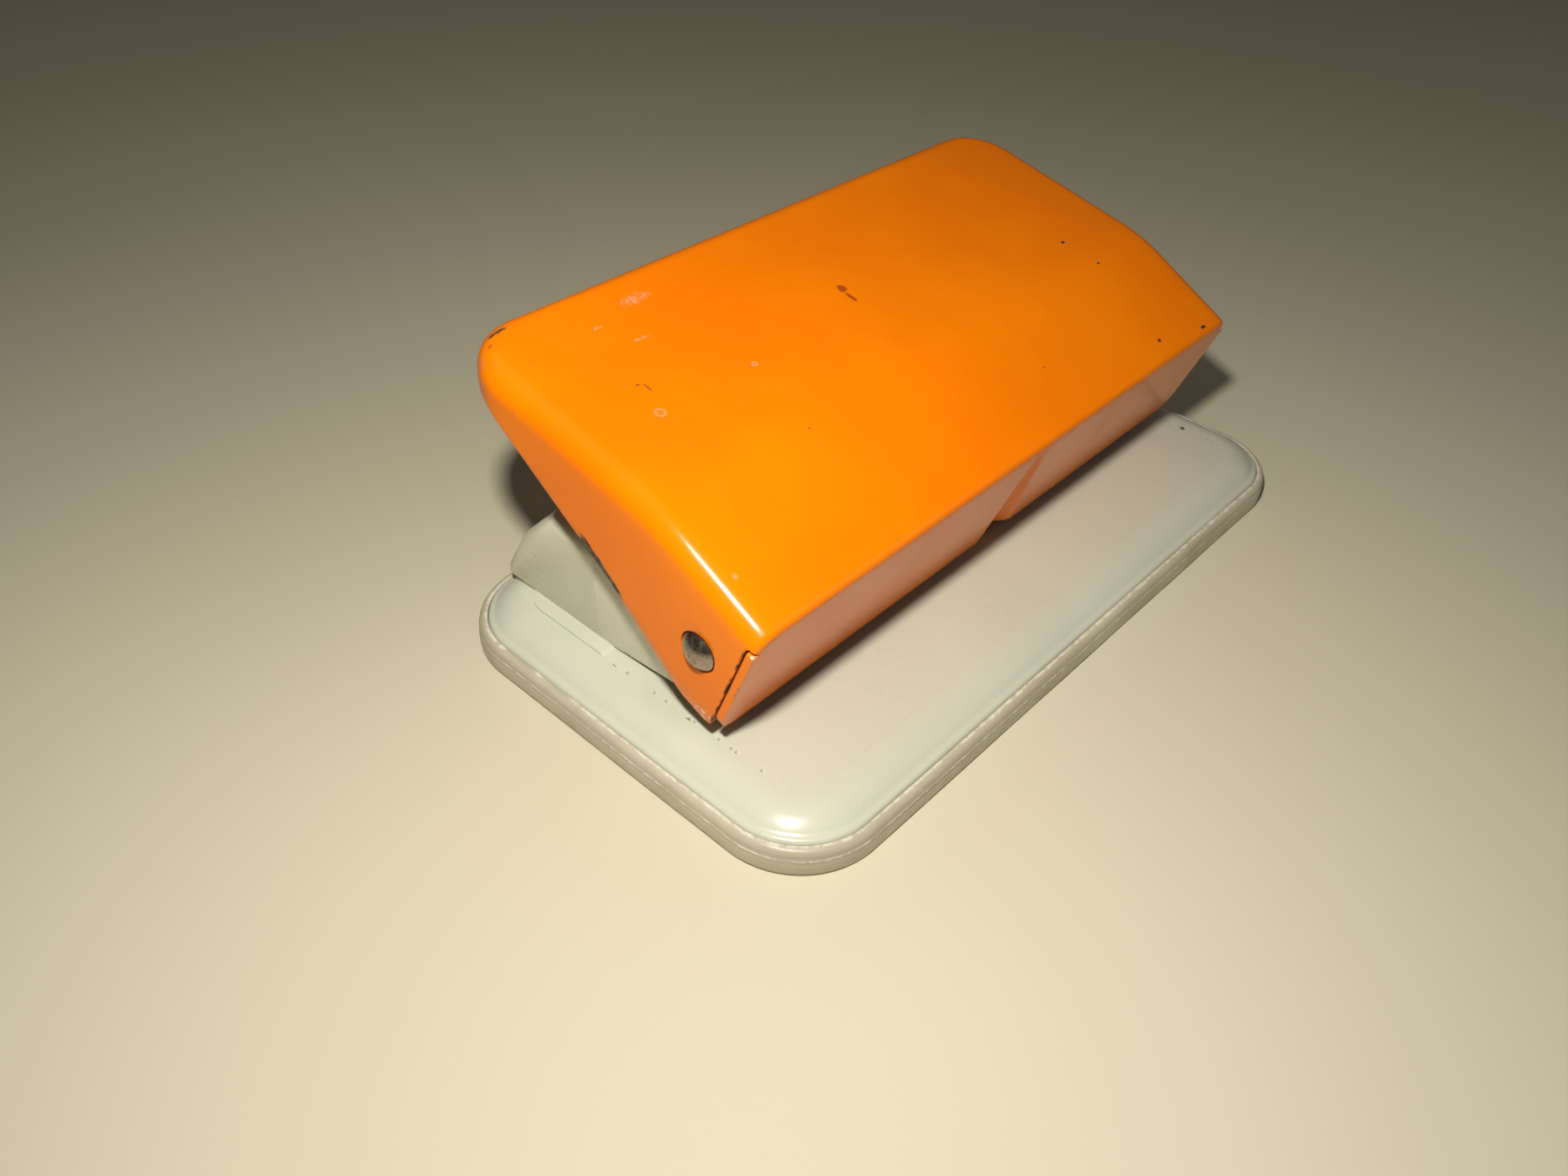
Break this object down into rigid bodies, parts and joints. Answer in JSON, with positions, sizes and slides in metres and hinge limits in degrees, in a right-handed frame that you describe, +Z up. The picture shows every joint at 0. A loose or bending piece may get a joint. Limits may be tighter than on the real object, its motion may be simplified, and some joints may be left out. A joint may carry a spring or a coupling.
{
  "type": "hole punch",
  "caption": "Desk hole punch: a sprung sheet-metal lever drives cutting pins through a base plate over a pull-off chip tray.",
  "frame": {"origin": "middle of the chip tray's flat underside", "axes": "+X along the hinge rod, +Y towards the lever's back edge (the paper goes in from -Y), +Z up"},
  "size_m": [0.118, 0.066, 0.0423],
  "materials": {
    "tray_plastic": "soft translucent beige plastic",
    "base_paint": "light warm grey gloss enamel",
    "bracket_paint": "light warm grey enamel",
    "lever_paint": "orange gloss enamel",
    "rod_steel": "bare turned steel",
    "punch_steel": "hardened ground steel",
    "spring_steel": "drawn spring wire",
    "inner_steel": "zinc-plated sheet steel",
    "rivet_steel": "headed steel"
  },
  "bodies": {
    "base": {"base_plate": "base_paint", "bracket": "bracket_paint", "pivot_rod": "rod_steel", "axle_clips": "inner_steel", "spacer_left": "inner_steel", "spacer_right": "inner_steel", "guide_channel": "inner_steel", "spring_left": "spring_steel", "spring_right": "spring_steel", "die_left": "inner_steel", "die_right": "inner_steel", "bracket_rivets": "rivet_steel", "guide_rivets": "rivet_steel", "die_rivets": "rivet_steel"},
    "tray": {"chip_tray": "tray_plastic"},
    "handle": {"lever": "lever_paint"},
    "left_pin": {"punch_left": "punch_steel", "punch_cap_left": "punch_steel"},
    "right_pin": {"punch_right": "punch_steel", "punch_cap_right": "punch_steel"}
  },
  "joints": [
    {"name": "lever_press", "type": "hinge", "parent": "base", "child": "handle", "pos_m": [0, -0.00964, 0.01971], "axis": [-1, 0, 0], "range_deg": [0, 30], "stiffness_Nm_per_rad": 0.15, "springref_deg": -28.65},
    {"name": "left_punch_slide", "type": "slide", "parent": "base", "child": "left_pin", "axis": [0, 0, -1], "range_m": [0, 0.0048], "deforming": ["spring_left"]},
    {"name": "right_punch_slide", "type": "slide", "parent": "base", "child": "right_pin", "axis": [0, 0, -1], "range_m": [0, 0.0048], "deforming": ["spring_right"]},
    {"name": "tray_pull", "type": "slide", "parent": "base", "child": "tray", "axis": [0, 0, -1], "range_m": [0, 0.012]}
  ],
  "couplings": [
    {"joint": "left_punch_slide", "follows": "lever_press", "m_per_rad": 0.009},
    {"joint": "right_punch_slide", "follows": "lever_press", "m_per_rad": 0.009}
  ]
}
